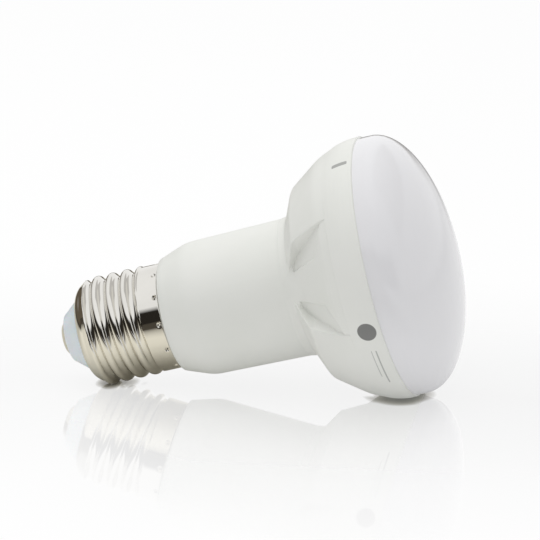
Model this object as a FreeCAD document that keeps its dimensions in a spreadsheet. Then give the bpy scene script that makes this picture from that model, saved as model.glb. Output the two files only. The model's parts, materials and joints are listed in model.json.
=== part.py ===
import FreeCAD, Part
import math
import os

from FreeCAD import Placement, Rotation, Vector

# Reflector lamp with LED light source and an E27 screw cap, lying on its thread and its rim.
#
# Every sub-part is drawn in one lamp frame: +Z runs along the lamp from the cap to the lens, a
# station is a height on that axis counted from the flat end of the cap's insulator, and +X passes
# through the middle of one valley of the head. One placement then lays the whole lamp down.

SIZES = {
    # screw cap
    "contact_radius": 4.8,
    "contact_rise": 1.3,
    "contact_flat": 3.0,
    "contact_edge_round": 1.2,
    "rivet_radius": 1.2,
    "rivet_end": 5.2,
    "insulator_tip_radius": 5.87,
    "insulator_edge_round": 0.5,
    "insulator_plug": 2.2,
    "lip_radius": 9.07,
    "lip_station": 4.18,
    "nose_radius": 12.1,
    "nose_station": 6.4,
    "nose_round": 3.98,
    "runin_station": 8.0,
    "sheet": 0.45,
    "crest_radius": 13.1,
    "thread_pitch": 3.629,
    "thread_round": 1.025,
    "thread_turns": 5.5,
    "thread_first_crest": 3.56,
    "thread_end_station": 20.3,
    "ridge_share": 0.47,
    "root_overlap": 0.035,
    "skirt_start": 21.2,
    "skirt_radius": 12.79,
    "skirt_end": 26.2,
    "skirt_roll": 0.4,
    "punch_count": 12,
    "punch_turn": 7.7,
    "punch_radius": 0.7,
    "punch_depth": 0.22,
    "punch_inset": 1.0,
    # housing
    "spigot_start": 8.5,
    "fit_gap": 0.1,
    "wall": 1.8,
    "neck_foot_radius": 13.65,
    "neck_cone_end": 33.3,
    "neck_radius": 16.18,
    "neck_cone_round": 10.0,
    "neck_top_radius": 16.7,
    "flare_foot": 60.4,
    "flare_foot_round": 8.0,
    "flare_slope": 0.82645,
    "flare_top_inset": 2.7,
    "flare_top_round": 9.0,
    "fold_inset": 1.55,
    "fold_rise": 2.2,
    "band_bulge": 0.16,
    "band_rise": 3.62,
    "band_round": 15.0,
    "rim_radius": 31.5,
    "rim_rise": 3.98,
    "rim_edge_round": 0.2,
    "lobe_foot_lead": 1.2,
    "lobe_foot_round": 1.6,
    "lobe_root": 2.0,
    "lobe_corner_share": 0.52075,
    "lobe_corner_rise": 3.25,
    "lobe_corner_round": 2.0,
    "lobe_shoulder_inset": 1.2,
    "lobe_shoulder_drop": 2.85,
    "lobe_shoulder_round": 12.0,
    "lobe_core_turn": 58.0,
    "foot_slope_across": 0.43,
    "foot_slope_along": 0.90,
    "corner_slope_across": 0.66,
    "corner_slope_along": 0.79,
    "shoulder_slope_across": 0.97,
    "shoulder_slope_along": 0.45,
    "flare_slope_across": 0.80,
    "flare_slope_along": 0.60,
    "valley_count": 3,
    "valley_flare": 0.68,
    "valley_foot_lead": 3.2,
    "valley_foot_lift": 2.1,
    "valley_bend_lead": 3.2,
    "valley_bend_inset": 10.1,
    "valley_end_lead": 5.2,
    "valley_end_inset": 9.5,
    "window_depth": 0.45,
    "window_tip": 2.4,
    "window_tip_half": 3.8,
    "window_long": 8.8,
    "window_corner_half": 5.6,
    "window_far": 10.0,
    "window_far_half": 11.6,
    # lens
    "lens_step": 0.35,
    "lens_wall": 1.5,
    "lens_height": 16.1,
    "lens_base": 2.5,
    "lens_tongue": 3.4,
    "tongue_wall": 1.3,
    "tongue_clear": 0.3,
    "tongue_taper": 1.2,
    "snap_rise": 0.3,
    "snap_ramp": 0.5,
    "snap_flat": 0.6,
    # light source
    "plate_inset": 3.9,
    "plate_thick": 1.5,
    "plate_rise": 0.4,
    "ledge_width": 0.6,
    "board_inset": 3.6,
    "board_thick": 1.2,
    "lead_hole": 4.0,
    "led_count": 12,
    "led_inset": 10.0,
    "led_length": 3.5,
    "led_width": 2.8,
    "led_height": 0.7,
    "screw_count": 3,
    "screw_turn": 60.0,
    "screw_inset": 5.0,
    "screw_radius": 1.25,
    "screw_head_radius": 2.4,
    "screw_head_height": 1.6,
    "screw_length": 9.0,
    "boss_radius": 2.7,
    "boss_lead": 2.16667,
    "boss_hole_deep": 7.0,
    # driver
    "driver_thick": 1.2,
    "driver_tail_start": 11.0,
    "driver_tail_half": 8.8,
    "driver_step": 30.5,
    "driver_half": 13.3,
    "driver_end": 54.0,
    "driver_shoulder": 2.0,
    "slot_rib": 1.0,
    "slot_depth": 1.6,
    "electrolytic_radius": 4.0,
    "electrolytic_length": 12.0,
    "electrolytic_across": 6.5,
    "electrolytic_start": 33.0,
    "smoothing_radius": 3.15,
    "smoothing_length": 11.0,
    "smoothing_across": -7.0,
    "smoothing_start": 42.5,
    "film_width": 9.0,
    "film_depth": 4.0,
    "film_length": 10.0,
    "film_across": 1.5,
    "film_start": 16.0,
    "fuse_radius": 1.5,
    "fuse_length": 8.0,
    "fuse_across": -6.0,
    "fuse_start": 17.0,
    "choke_radius": 3.0,
    "choke_length": 7.0,
    "choke_flange": 1.05,
    "choke_coil_radius": 2.58,
    "choke_across": 6.5,
    "choke_start": 46.5,
    "core_width": 10.2,
    "core_depth": 4.8,
    "core_leg": 2.4,
    "core_slack": 0.6,
    "core_across": -6.0,
    "core_start": 31.0,
    "winding_build": 1.5,
    "bridge_width": 4.7,
    "bridge_depth": 2.5,
    "bridge_length": 3.9,
    "bridge_across": 0.0,
    "bridge_start": 20.0,
    "chip_width": 3.9,
    "chip_depth": 1.5,
    "chip_length": 4.9,
    "chip_across": -2.0,
    "chip_start": 38.0,
    "diode_width": 2.6,
    "diode_depth": 2.3,
    "diode_length": 4.3,
    "diode_across": 5.0,
    "diode_start": 46.0,
    "lead_radius": 0.45,
    "lead_bend": 1.5,
    "lead_landing": 2.5,
    "lead_fall": 3.5,
    "lead_step": 1.0,
    "live_across": -2.5,
    "neutral_across": 6.5,
    "neutral_landing": 4.0,
    "led_lead_across": 3.0,
    "led_lead_close": 2.0,
    "led_lead_far": 7.0,
    "led_lead_run": 4.0,
    "led_lead_rise": 3.0,
}

# sizes that follow from the ones above
FOLLOWING = {
    "fold_radius": "rim_radius - fold_inset",
    "band_radius": "rim_radius + band_bulge",
    "flare_top_radius": "rim_radius - flare_top_inset",
    "flare_top_station": "flare_foot + (flare_top_radius - neck_top_radius) * flare_slope",
    "fold_station": "flare_top_station + fold_rise",
    "band_station": "fold_station + band_rise",
    "rim_station": "band_station + rim_rise",
    "lobe_foot": "flare_foot - lobe_foot_lead",
    "lobe_corner_radius": "neck_top_radius + (fold_radius - neck_top_radius) * lobe_corner_share",
    "lobe_corner_station": "lobe_foot + lobe_corner_rise",
    "lobe_shoulder_radius": "fold_radius - lobe_shoulder_inset",
    "lobe_shoulder_station": "fold_station - lobe_shoulder_drop",
    "valley_foot_station": "lobe_foot - valley_foot_lead",
    "valley_foot_radius": "neck_top_radius + valley_foot_lift",
    "valley_bend_station": "lobe_foot + valley_bend_lead",
    "valley_bend_radius": "neck_top_radius - valley_bend_inset",
    "valley_end_station": "rim_station - valley_end_lead",
    "valley_end_radius": "neck_top_radius - valley_end_inset",
    "plate_radius": "rim_radius - plate_inset",
    "plate_station": "fold_station + plate_rise",
    "board_radius": "plate_radius - board_inset",
    "led_circle": "board_radius - led_inset",
    "screw_circle": "board_radius - screw_inset",
    "lobe_slope": "lobe_corner_rise / (lobe_corner_radius - neck_top_radius)",
    "boss_station": "lobe_foot + (screw_circle - neck_top_radius) * lobe_slope + boss_lead",
    "punch_station": "skirt_end - punch_inset",
}

# how far the first valley is turned from the lamp's upper side, towards -Y
VALLEY_TURN = 79.6

document = FreeCAD.newDocument("reflector_lamp")
sheet = document.addObject("Spreadsheet::Sheet", "sizes")
for row, (alias, number) in enumerate(SIZES.items(), start=1):
    sheet.set("A%d" % row, alias)
    sheet.set("B%d" % row, str(number))
    sheet.setAlias("B%d" % row, alias)
for row, (alias, rule) in enumerate(FOLLOWING.items(), start=len(SIZES) + 1):
    sheet.set("A%d" % row, alias)
    sheet.set("B%d" % row, "=" + rule)
    sheet.setAlias("B%d" % row, alias)
document.recompute()

# how far a cutter runs past what it cuts
PAST = 1.0

# share of a lead's straight run that a bend may take at either end
BEND_SHARE = 0.45


class Size:
    """A size that is both a number and the sheet expression it comes from."""

    def __init__(self, value, text):
        self.value = float(value)
        self.text = text

    def joined(self, sign, other, value):
        return Size(value, "(%s %s %s)" % (self.text, sign, other.text))

    def __add__(self, other):
        other = as_size(other)
        return self.joined("+", other, self.value + other.value)

    def __sub__(self, other):
        other = as_size(other)
        return self.joined("-", other, self.value - other.value)

    def __mul__(self, other):
        other = as_size(other)
        return self.joined("*", other, self.value * other.value)

    def __truediv__(self, other):
        other = as_size(other)
        return self.joined("/", other, self.value / other.value)

    def __neg__(self):
        return Size(-self.value, "(0 - %s)" % self.text)

    def __radd__(self, other):
        return as_size(other) + self

    def __rsub__(self, other):
        return as_size(other) - self

    def __rmul__(self, other):
        return as_size(other) * self


def as_size(number):
    if isinstance(number, Size):
        return number
    return Size(number, repr(float(number)))


def root(size):
    return Size(math.sqrt(size.value), "sqrt(%s)" % size.text)


def cell(alias):
    return Size(sheet.get(alias), "sizes.%s" % alias)


def number(alias):
    return float(sheet.get(alias))


def bind(thing, **sizes):
    """Sets properties of a document object from the sheet."""
    for name, size in sizes.items():
        size = as_size(size)
        setattr(thing, name, size.value)
        thing.setExpression(name, size.text)


def seat(thing, x=0.0, y=0.0, z=0.0, turn=None):
    """Puts a primitive at a place in the lamp frame."""
    place = [as_size(v) for v in (x, y, z)]
    rotation = turn if turn is not None else Rotation()
    thing.Placement = Placement(Vector(*[p.value for p in place]), rotation)
    for axis, size in zip("xyz", place):
        thing.setExpression("Placement.Base.%s" % axis, size.text)


def origin_plane(body, role):
    return [plane for plane in body.Origin.OriginFeatures if plane.Role == role][0]


def new_body(label):
    body = document.addObject("PartDesign::Body", label)
    body.Label = label
    return body


def new_sketch(body, name, role="XZ_Plane", height=None):
    sketch = body.newObject("Sketcher::SketchObject", name)
    sketch.AttachmentSupport = [(origin_plane(body, role), "")]
    sketch.MapMode = "FlatFace"
    if height is not None:
        sketch.AttachmentOffset = Placement(Vector(0, 0, height.value), Rotation())
        sketch.setExpression("AttachmentOffset.Base.z", height.text)
    return sketch


def arc_between(start, end, radius, turn):
    """The arc from start to end that bends left (+1) or right (-1)."""
    chord = end - start
    middle = (start + end) * 0.5
    reach = math.sqrt(max(radius * radius - chord.Length ** 2 / 4.0, 0.0))
    side = Vector(-chord.y, chord.x, 0.0)
    side.normalize()
    centre = middle + side * (reach * turn)
    first, last = (start, end) if turn > 0 else (end, start)
    a0 = math.atan2(first.y - centre.y, first.x - centre.x)
    a1 = math.atan2(last.y - centre.y, last.x - centre.x)
    return Part.ArcOfCircle(Part.Circle(centre, Vector(0, 0, 1), radius), a0, a1)


def draw(sketch, corners):
    """A closed outline. A corner is (across, along), with (radius, turn) added where an arc leaves it."""
    from Sketcher import Constraint
    spots = [Vector(as_size(c[0]).value, as_size(c[1]).value, 0.0) for c in corners]
    ends = []
    for i, corner in enumerate(corners):
        start, end = spots[i], spots[(i + 1) % len(corners)]
        if len(corner) == 2:
            edge = sketch.addGeometry(Part.LineSegment(start, end), False)
            ends.append((edge, 1, 2))
            continue
        radius, turn = as_size(corner[2]), corner[3]
        edge = sketch.addGeometry(arc_between(start, end, radius.value, turn), False)
        ends.append((edge, 1, 2) if turn > 0 else (edge, 2, 1))
        held = sketch.addConstraint(Constraint("Radius", edge, radius.value))
        sketch.setExpression("Constraints[%d]" % held, radius.text)
    for i, (edge, first, last) in enumerate(ends):
        following, its_first, _ = ends[(i + 1) % len(ends)]
        sketch.addConstraint(Constraint("Coincident", edge, last, following, its_first))
        across, along = as_size(corners[i][0]), as_size(corners[i][1])
        if across.value == 0.0 and "sizes" not in across.text:
            sketch.addConstraint(Constraint("PointOnObject", edge, first, -2))
        else:
            held = sketch.addConstraint(Constraint("DistanceX", -1, 1, edge, first, across.value))
            sketch.setExpression("Constraints[%d]" % held, across.text)
        held = sketch.addConstraint(Constraint("DistanceY", -1, 1, edge, first, along.value))
        sketch.setExpression("Constraints[%d]" % held, along.text)
    return sketch


def turned(body, name, corners, kind="PartDesign::Revolution", angle=360.0):
    """Turns an outline of (radius, station) corners about the lamp's axis."""
    sketch = draw(new_sketch(body, name + "_outline"), corners)
    feature = body.newObject(kind, name)
    feature.Profile = sketch
    feature.ReferenceAxis = (sketch, ["V_Axis"])
    angle = as_size(angle)
    feature.Angle = angle.value
    if angle.value != 360.0:
        feature.setExpression("Angle", angle.text)
        feature.Midplane = True
    sketch.Visibility = False
    document.recompute()
    return feature


def cut_turned(body, name, corners, angle=360.0):
    return turned(body, name, corners, "PartDesign::Groove", angle)


def patterned(body, name, feature, count):
    """Repeats a feature around the lamp's axis."""
    pattern = body.newObject("PartDesign::PolarPattern", name)
    pattern.Originals = [feature]
    pattern.Axis = (axis_of(body), [""])
    pattern.Angle = 360.0
    pattern.Occurrences = int(count.value)
    pattern.setExpression("Occurrences", count.text)
    body.Tip = pattern
    document.recompute()
    return pattern


def axis_of(body):
    return [axis for axis in body.Origin.OriginFeatures if axis.Role == "Z_Axis"][0]


def ring_edges(shape, radius, station):
    """Names of the round edges of a shape at one radius and station."""
    names = []
    for number, edge in enumerate(shape.Edges, start=1):
        curve = edge.Curve
        if not hasattr(curve, "Radius") or not hasattr(curve, "Center"):
            continue
        if abs(curve.Radius - radius.value) < 1e-4 and abs(curve.Center.z - station.value) < 1e-4:
            names.append("Edge%d" % number)
    return names


def rounded(body, name, radius, station, size):
    """Rounds the ring edges at one radius and station."""
    base = body.Tip
    names = ring_edges(base.Shape, as_size(radius), as_size(station))
    if not names:
        raise ValueError("no edge to round for " + name)
    fillet = body.newObject("PartDesign::Fillet", name)
    fillet.Base = (base, names)
    bind(fillet, Radius=size)
    document.recompute()
    return fillet


subparts = []


def keep(thing, label):
    thing.Label = label
    subparts.append(thing)
    return thing


def block(name, wide, deep, long, x, y, z):
    """A box whose middle is at (x, y) and whose near end is at station z."""
    box = document.addObject("Part::Box", name)
    bind(box, Length=wide, Width=deep, Height=long)
    seat(box, x - as_size(wide) / 2, y - as_size(deep) / 2, z)
    return box


def rod(name, radius, long, x, y, z):
    """A round bar along the lamp's axis, from station z."""
    bar = document.addObject("Part::Cylinder", name)
    bind(bar, Radius=radius, Height=long)
    seat(bar, x, y, z)
    return bar


def body_block(label, wide, deep, long, x, y, z):
    """A sub-part that is one box, placed as block places it."""
    body = new_body(label)
    box = body.newObject("PartDesign::AdditiveBox", label + "_block")
    bind(box, Length=wide, Width=deep, Height=long)
    seat(box, x - as_size(wide) / 2, y - as_size(deep) / 2, z)
    return keep(body, label)


def body_rod(label, radius, long, x, y, z):
    """A sub-part that is one round bar, placed as rod places it."""
    body = new_body(label)
    bar = body.newObject("PartDesign::AdditiveCylinder", label + "_bar")
    bind(bar, Radius=radius, Height=long)
    seat(bar, x, y, z)
    return keep(body, label)


def joined(name, pieces):
    fuse = document.addObject("Part::MultiFuse", name)
    fuse.Shapes = pieces
    return fuse


def less(name, base, tool):
    cut = document.addObject("Part::Cut", name)
    cut.Base = base
    cut.Tool = tool
    return cut


def grouped(name, pieces):
    compound = document.addObject("Part::Compound", name)
    compound.Links = pieces
    return compound


def around(count, circle, first=0.0):
    """Middles of evenly spaced pieces on a circle, as (x, y, turn) numbers."""
    step = 360.0 / count
    places = []
    for number in range(count):
        turn = first + number * step
        places.append((circle * math.cos(math.radians(turn)), circle * math.sin(math.radians(turn)), turn))
    return places


def routed(name, points, radius, bend):
    """A lead of straight runs with rounded bends, through points given as sizes."""
    spots = [Vector(*[as_size(v).value for v in point]) for point in points]
    edges = []
    start = spots[0]
    for before, corner, after in zip(spots, spots[1:], spots[2:]):
        inward = (before - corner).normalize()
        onward = (after - corner).normalize()
        half = inward.getAngle(onward) / 2.0
        shorter = min((before - corner).Length, (after - corner).Length)
        reach = min(bend.value / math.tan(half), BEND_SHARE * shorter)
        first, last = corner + inward * reach, corner + onward * reach
        towards = (inward + onward).normalize()
        curve_radius = reach * math.tan(half)
        middle = corner + towards * (curve_radius / math.sin(half) - curve_radius)
        edges.append(Part.LineSegment(start, first).toShape())
        edges.append(Part.Arc(first, middle, last).toShape())
        start = last
    edges.append(Part.LineSegment(start, spots[-1]).toShape())
    path = Part.Wire(edges)
    section = Part.Wire(Part.Circle(spots[0], spots[1] - spots[0], radius.value).toShape())
    lead = document.addObject("Part::Feature", name)
    lead.Shape = path.makePipeShell([section], True, True)
    return lead


# Screw cap

def make_centre_contact():
    body = new_body("centre_contact")
    rise, radius = cell("contact_rise"), cell("contact_radius")
    turned(body, "button", [
        (0.0, -rise),
        (cell("contact_flat"), -rise),
        (radius, 0.0),
        (cell("rivet_radius"), 0.0),
        (cell("rivet_radius"), cell("rivet_end")),
        (0.0, cell("rivet_end")),
    ])
    rounded(body, "face_edge", cell("contact_flat"), -rise, cell("contact_edge_round"))
    return keep(body, "centre_contact")


def make_cap_insulator():
    body = new_body("cap_insulator")
    bore = cell("rivet_radius") + cell("fit_gap")
    plug = cell("lip_radius") - cell("sheet") - cell("fit_gap")
    deep = cell("lip_station") + cell("insulator_plug")
    turned(body, "cone", [
        (bore, 0.0),
        (cell("insulator_tip_radius"), 0.0),
        (cell("lip_radius"), cell("lip_station")),
        (plug, cell("lip_station")),
        (plug, deep),
        (bore, deep),
    ])
    rounded(body, "tip_edge", cell("insulator_tip_radius"), 0.0, cell("insulator_edge_round"))
    return keep(body, "cap_insulator")


def thread_depth():
    """Depth of a thread of equal round crests and roots that meet in a smooth line."""
    turn_round, half_pitch = cell("thread_round"), cell("thread_pitch") / 2
    return 2 * turn_round - root(4 * turn_round * turn_round - half_pitch * half_pitch)


def make_screw_shell():
    body = new_body("shell_sheet")
    crest, pitch, bend = cell("crest_radius"), cell("thread_pitch"), cell("thread_round")
    valley = crest - thread_depth()
    core = valley + cell("root_overlap")
    bore = valley - cell("sheet")
    spare = cell("sheet")
    turned(body, "blank", [
        (0.0, cell("lip_station")),
        (core, cell("lip_station")),
        (core, cell("thread_end_station")),
        (cell("skirt_radius") + spare, cell("skirt_start") + spare),
        (cell("skirt_radius") + spare, cell("skirt_end")),
        (0.0, cell("skirt_end")),
    ])
    first = cell("thread_first_crest")
    join_radius = crest - thread_depth() / 2
    short = pitch * cell("ridge_share")
    off_valley = pitch / 2 - short
    foot_radius = valley + bend - root(bend * bend - off_valley * off_valley)
    ridge = draw(new_sketch(body, "ridge_outline"), [
        (bore, first - short),
        (foot_radius, first - short, bend, -1),
        (join_radius, first - pitch / 4, bend, 1),
        (join_radius, first + pitch / 4, bend, -1),
        (foot_radius, first + short),
        (bore, first + short),
    ])
    thread = body.newObject("PartDesign::AdditiveHelix", "thread")
    thread.Profile = ridge
    thread.ReferenceAxis = (ridge, ["V_Axis"])
    thread.Mode = 1
    bind(thread, Pitch=pitch, Turns=cell("thread_turns"))
    thread.LeftHanded = False
    document.recompute()
    outside = crest + cell("skirt_radius")
    cut_turned(body, "outer_form", [
        (cell("lip_radius"), cell("lip_station"), cell("nose_round"), 1),
        (cell("nose_radius"), cell("nose_station")),
        (crest + spare, cell("runin_station")),
        (crest + spare, cell("thread_end_station")),
        (cell("skirt_radius"), cell("skirt_start")),
        (cell("skirt_radius"), cell("skirt_end") - cell("skirt_roll"), cell("skirt_roll"), 1),
        (cell("skirt_radius") - cell("skirt_roll"), cell("skirt_end")),
        (cell("skirt_radius") - cell("skirt_roll"), cell("skirt_end") + PAST),
        (outside, cell("skirt_end") + PAST),
        (outside, first - pitch),
        (cell("lip_radius"), first - pitch),
    ])
    cut_turned(body, "bore", [
        (0.0, first - pitch),
        (cell("lip_radius") - cell("sheet"), first - pitch),
        (cell("lip_radius") - cell("sheet"), cell("lip_station") + cell("sheet"), cell("nose_round"), 1),
        (bore, cell("nose_station") + cell("sheet")),
        (bore, cell("skirt_end") + PAST),
        (0.0, cell("skirt_end") + PAST),
    ])
    punches = []
    punch_radius = cell("punch_radius")
    middle = cell("skirt_radius") - cell("punch_depth") + punch_radius
    marks = around(int(number("punch_count")), middle.value, number("punch_turn"))
    for place, (x, y, _) in enumerate(marks):
        punch = document.addObject("Part::Sphere", "punch_%d" % place)
        bind(punch, Radius=punch_radius)
        seat(punch, x, y, cell("punch_station"))
        punches.append(punch)
    return keep(less("screw_shell", body, joined("punches", punches)), "screw_shell")


# Housing

def spigot_radius():
    """Outside of the neck's spigot, which the screw shell slides over."""
    return cell("crest_radius") - thread_depth() - cell("sheet") - cell("fit_gap")


def make_lobes():
    """The three raised lobes, turned as one ring and parted by the valleys."""
    body = new_body("lobes")
    foot = cell("lobe_foot")
    corner = (cell("lobe_corner_radius"), cell("lobe_corner_station"))
    shoulder = (cell("lobe_shoulder_radius"), cell("lobe_shoulder_station"))
    turned(body, "ring", [
        (0.0, foot - cell("lobe_root")),
        (cell("neck_top_radius"), foot - cell("lobe_root")),
        (cell("neck_top_radius"), foot),
        corner,
        shoulder,
        (cell("fold_radius"), cell("fold_station")),
        (0.0, cell("fold_station")),
    ])
    rounded(body, "foot_bend", cell("neck_top_radius"), foot, cell("lobe_foot_round"))
    rounded(body, "corner_bend", *corner, cell("lobe_corner_round"))
    rounded(body, "shoulder_bend", *shoulder, cell("lobe_shoulder_round"))
    outer = cell("rim_radius") + PAST
    wedge = []
    for name in ("valley_foot", "valley_bend", "valley_end"):
        edge_radius = cell(name + "_radius")
        half = (outer - edge_radius) * cell("valley_flare")
        sketch = new_sketch(body, name, "XY_Plane", cell(name + "_station"))
        wedge.append(draw(sketch, [(edge_radius, 0.0), (outer, -half), (outer, half)]))
    valley = body.newObject("PartDesign::SubtractiveLoft", "valley")
    valley.Profile = wedge[0]
    valley.Sections = wedge[1:]
    valley.Ruled = True
    document.recompute()
    patterned(body, "valleys", valley, cell("valley_count"))
    return body


def make_neck_and_band():
    """Spigot, neck, flare and band, turned as one form."""
    body = new_body("neck_and_band")
    neck = (cell("neck_radius"), cell("neck_cone_end"))
    flare_foot = (cell("neck_top_radius"), cell("flare_foot"))
    flare_top = (cell("flare_top_radius"), cell("flare_top_station"))
    band = (cell("band_radius"), cell("band_station"))
    rim = (cell("rim_radius"), cell("rim_station"))
    turned(body, "turned_form", [
        (0.0, cell("spigot_start")),
        (spigot_radius(), cell("spigot_start")),
        (spigot_radius(), cell("skirt_end")),
        (cell("neck_foot_radius"), cell("skirt_end")),
        neck,
        flare_foot,
        flare_top,
        (cell("fold_radius"), cell("fold_station")),
        band,
        rim,
        (0.0, rim[1]),
    ])
    rounded(body, "neck_bend", *neck, cell("neck_cone_round"))
    rounded(body, "flare_foot_bend", *flare_foot, cell("flare_foot_round"))
    rounded(body, "flare_top_bend", *flare_top, cell("flare_top_round"))
    rounded(body, "band_bend", *band, cell("band_round"))
    rounded(body, "rim_edge", *rim, cell("rim_edge_round"))
    return body


def make_hollow():
    """The space inside the housing, open at the lens and at the cap."""
    body = new_body("hollow")
    wall, gap, snap = cell("wall"), cell("fit_gap"), cell("snap_rise")
    ledge, rim = cell("plate_station"), cell("rim_station")
    groove = rim - cell("lens_tongue") + cell("tongue_clear")
    ramp, flat = cell("snap_ramp"), cell("snap_flat")
    seat_radius = cell("rim_radius") - cell("lens_step") - cell("tongue_wall") + gap
    turned(body, "hollow_form", [
        (0.0, cell("spigot_start") - PAST),
        (spigot_radius() - wall, cell("spigot_start") - PAST),
        (spigot_radius() - wall, cell("skirt_end") - wall / 2),
        (cell("neck_radius") - wall, cell("neck_cone_end") - wall),
        (cell("neck_top_radius") - wall, cell("flare_foot") + wall / 2),
        inset("flare_top_radius", "flare_top_station", "flare_slope", wall),
        (cell("plate_radius") - cell("ledge_width"), ledge),
        (cell("plate_radius") + gap, ledge),
        (cell("plate_radius") + gap, groove - 2 * cell("tongue_clear")),
        (seat_radius, groove - 2 * cell("tongue_clear")),
        (seat_radius, groove),
        (seat_radius + snap, groove + ramp),
        (seat_radius + snap, groove + ramp + flat),
        (seat_radius, groove + 2 * ramp + flat),
        (seat_radius, rim + PAST),
        (0.0, rim + PAST),
    ])
    return body


def inset(radius, station, slope, deep):
    """A corner of the outside moved in by a depth that is measured square to its slopes."""
    return (cell(radius) - deep * cell(slope + "_across"), cell(station) + deep * cell(slope + "_along"))


def make_lobe_cores():
    """The space cored out under the three lobes, so that their walls are as thin as the rest."""
    body = new_body("lobe_cores")
    wall = cell("wall")
    foot_radius, foot_station = inset("neck_top_radius", "lobe_foot", "foot_slope", wall)
    corner_radius, corner_station = inset("lobe_corner_radius", "lobe_corner_station", "corner_slope", wall)
    shoulder_radius, shoulder_station = inset("lobe_shoulder_radius", "lobe_shoulder_station",
                                              "shoulder_slope", wall)
    core = turned(body, "core", [
        (0.0, foot_station),
        (-foot_radius, foot_station),
        (-corner_radius, corner_station),
        (-shoulder_radius, shoulder_station),
        (-shoulder_radius, cell("fold_station")),
        (0.0, cell("fold_station")),
    ], angle=cell("lobe_core_turn"))
    patterned(body, "cores", core, cell("valley_count"))
    return body


def make_windows():
    """Cutters for the two sunken windows in the floor of each valley."""
    body = new_body("window_prisms")
    foot = cell("lobe_foot")
    near, far = foot + cell("window_tip"), foot + cell("window_long")
    sketch = new_sketch(body, "window_outlines", "YZ_Plane")
    for side in (1, -1):
        draw(sketch, [
            (cell("window_tip_half") * side, near),
            (cell("window_corner_half") * side, far),
            (cell("window_far_half") * side, foot + cell("window_far") + PAST),
            (cell("rim_radius") / 2 * side, foot + cell("window_far") + PAST),
            (cell("window_far_half") * side, near),
        ])
    prism = body.newObject("PartDesign::Pad", "window_pair")
    prism.Profile = sketch
    bind(prism, Length=cell("rim_radius"))
    document.recompute()
    patterned(body, "windows", prism, cell("valley_count"))
    core = new_body("window_floor")
    deep = cell("window_depth")
    foot_corner = (cell("neck_top_radius") - deep, cell("flare_foot") + deep / 2)
    top_corner = inset("flare_top_radius", "flare_top_station", "flare_slope", deep)
    turned(core, "floor_form", [
        (0.0, cell("neck_cone_end")),
        (cell("neck_top_radius") - deep, cell("neck_cone_end")),
        foot_corner,
        top_corner,
        (cell("fold_radius") - deep, cell("fold_station")),
        (0.0, cell("fold_station")),
    ])
    rounded(core, "floor_foot_bend", *foot_corner, cell("flare_foot_round") + deep)
    rounded(core, "floor_top_bend", *top_corner, cell("flare_top_round") - deep)
    return less("windows_cut", body, core)


def make_housing():
    sunken = less("neck_with_windows", make_neck_and_band(), make_windows())
    outside = joined("housing_outside", [sunken, make_lobes()])
    bosses = []
    boss_start = cell("boss_station")
    for place, (x, y, _) in enumerate(screw_places()):
        bosses.append(rod("boss_%d" % place, cell("boss_radius"), cell("plate_station") - boss_start, x, y,
                          boss_start))
    ribs = []
    for place, (side, face) in enumerate(((-1, -1), (-1, 1), (1, -1), (1, 1))):
        reach = cell("slot_depth") + cell("wall")
        middle_x = side * (cell("neck_radius") - cell("wall") / 2 - cell("slot_depth") / 2)
        middle_y = face * (part_side() + cell("fit_gap") + cell("slot_rib") / 2)
        long = cell("driver_end") - cell("neck_cone_end")
        ribs.append(block("slot_rib_%d" % place, reach, cell("slot_rib"), long, middle_x, middle_y,
                          cell("neck_cone_end")))
    shell = less("housing_wall", outside, joined("housing_space", [make_hollow(), make_lobe_cores()]))
    filled = joined("housing_with_bosses", [shell] + bosses + ribs)
    deep = cell("boss_hole_deep")
    holes = screw_holes("boss", cell("plate_station") - deep, deep)
    return keep(less("housing", filled, joined("boss_holes", holes)), "housing")


# Lens

def make_diffuser():
    radius = cell("rim_radius") - cell("lens_step")
    tongue = radius - cell("tongue_wall")
    rim, base = cell("rim_station"), cell("lens_base")
    crown = cell("lens_height") - base
    wall = cell("lens_wall")
    body = new_body("lens_ring")
    gap, ramp = cell("fit_gap"), cell("snap_ramp")
    snap = cell("snap_rise") - gap
    tongue_end = rim - cell("lens_tongue")
    bead = tongue_end + cell("tongue_clear") + gap
    bead_top = bead + ramp + cell("snap_flat") - 2 * gap
    turned(body, "ring", [
        (tongue - cell("tongue_wall"), tongue_end),
        (tongue, tongue_end),
        (tongue, bead),
        (tongue + snap, bead + ramp),
        (tongue + snap, bead_top),
        (tongue, bead_top + ramp),
        (tongue, rim),
        (radius, rim),
        (radius, rim + base),
        (radius - wall, rim + base),
        (tongue - cell("tongue_wall"), rim + base - cell("tongue_taper")),
    ])
    domes = []
    for name, shrink in (("lens_outside", 0.0), ("lens_inside", 1.0)):
        dome = document.addObject("Part::Ellipsoid", name)
        bind(dome, Radius1=crown - wall * shrink, Radius2=radius - wall * shrink,
             Radius3=radius - wall * shrink)
        dome.Angle1 = 0.0
        seat(dome, 0.0, 0.0, rim + base)
        domes.append(dome)
    cap = less("lens_dome", domes[0], domes[1])
    return keep(joined("diffuser", [body, cap]), "diffuser")


# Light source

def make_heat_plate():
    disc = rod("plate_disc", cell("plate_radius"), cell("plate_thick"), 0.0, 0.0, cell("plate_station"))
    holes = [rod("plate_lead_hole", cell("lead_hole"), cell("plate_thick") + 2 * PAST, 0.0, 0.0,
                 cell("plate_station") - PAST)]
    holes += screw_holes("plate", cell("plate_station"), cell("plate_thick"))
    return keep(less("heat_plate", disc, joined("plate_holes", holes)), "heat_plate")


def screw_places():
    return around(int(number("screw_count")), number("screw_circle"), number("screw_turn"))


def screw_holes(owner, station, thick):
    holes = []
    for place, (x, y, _) in enumerate(screw_places()):
        holes.append(rod("%s_screw_hole_%d" % (owner, place), cell("screw_radius") + cell("fit_gap"),
                         thick + 2 * PAST, x, y, station - PAST))
    return holes


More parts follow.
